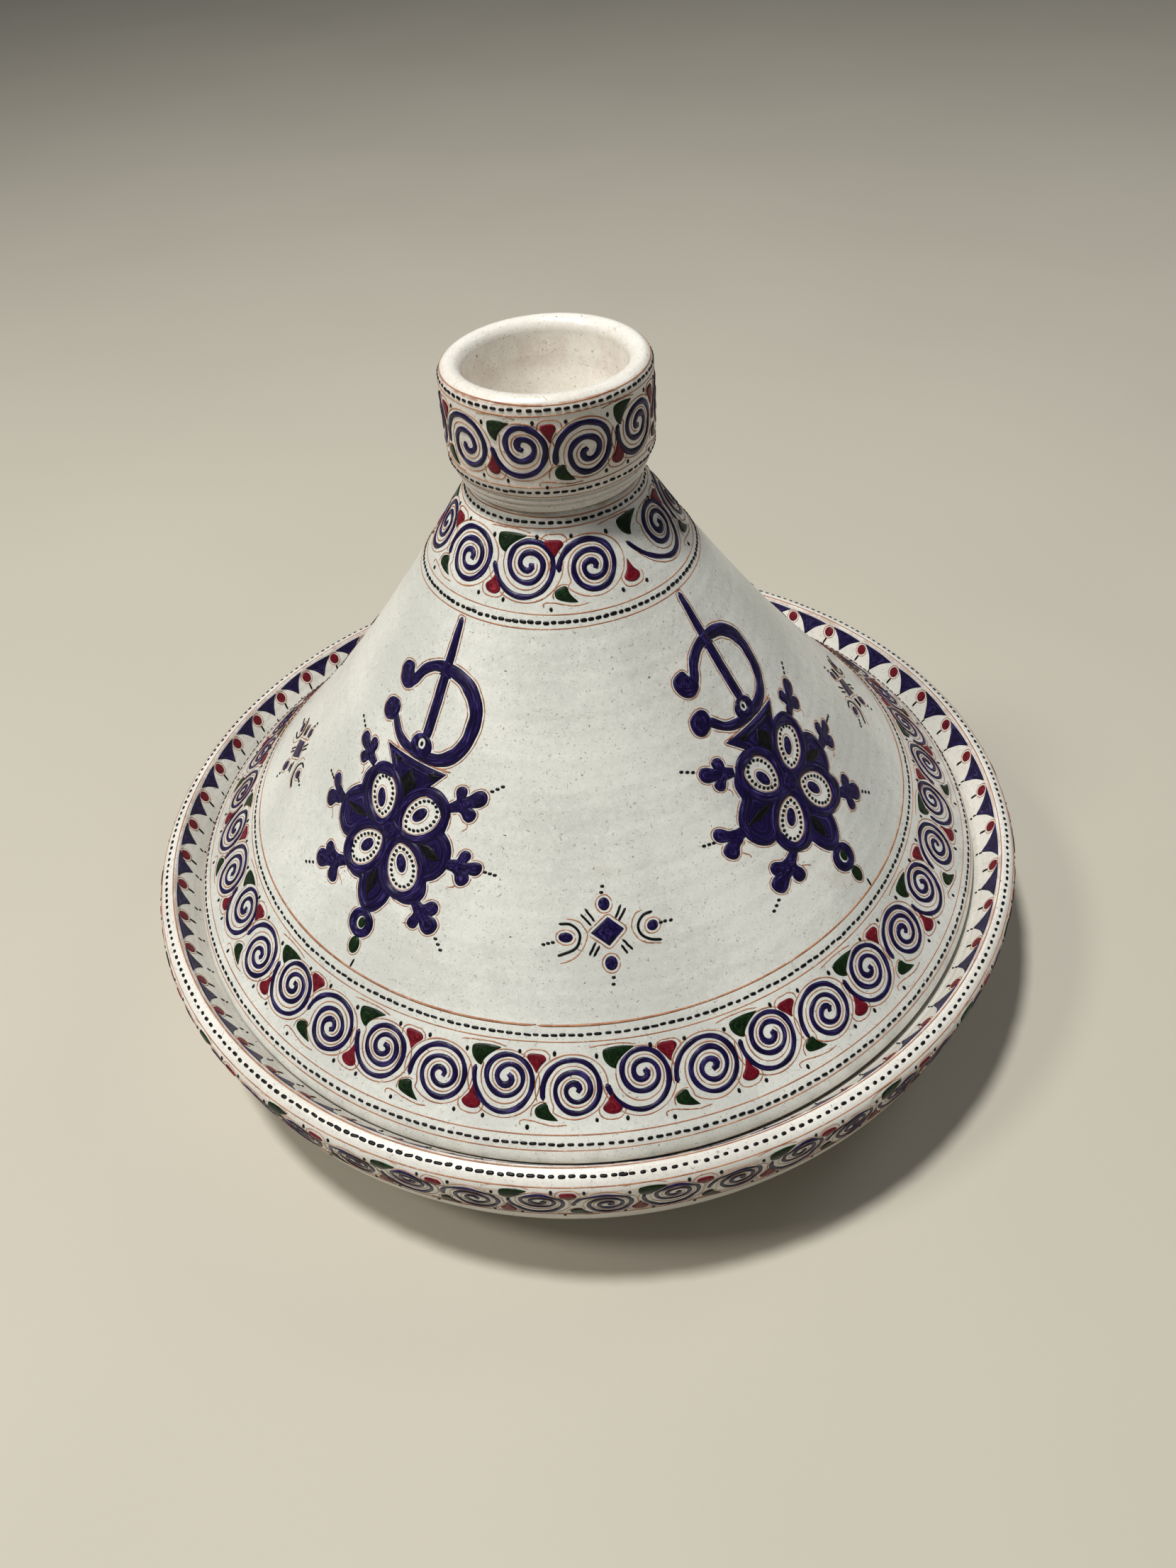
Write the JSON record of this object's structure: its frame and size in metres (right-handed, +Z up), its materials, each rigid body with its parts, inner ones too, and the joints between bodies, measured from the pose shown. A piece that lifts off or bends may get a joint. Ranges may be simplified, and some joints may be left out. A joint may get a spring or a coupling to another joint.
{
  "type": "tagine pot",
  "caption": "Glazed earthenware cooking pot: a shallow footed dish with a ledge inside its rim, and a tall conical lift-off lid with a hollow cup for a knob",
  "frame": {"origin": "centre of the foot ring, on the surface that the pot stands on", "axes": "+Z up, along the axis that the dish and the lid are turned about"},
  "size_m": [0.3336, 0.3336, 0.244],
  "materials": {
    "dish_glaze": "glossy tin-white glaze over terracotta",
    "lid_glaze": "glossy tin-white glaze over terracotta, with fine dark specks",
    "knob_glaze": "glossy tin-white glaze over terracotta",
    "indigo_enamel": "glossy raised enamel",
    "green_enamel": "glossy raised enamel",
    "crimson_enamel": "glossy raised enamel",
    "black_enamel": "glossy raised enamel",
    "terracotta_line": "thin trailed slip line, bare clay showing"
  },
  "bodies": {
    "dish": {"base_dish": "dish_glaze"},
    "lid": {"lid_cone": "lid_glaze", "lid_knob_cup": "knob_glaze"}
  },
  "joints": [
    {"name": "lid_lift", "type": "slide", "parent": "dish", "child": "lid", "axis": [0, 0, 1], "range_m": [0, 0.16]}
  ]
}
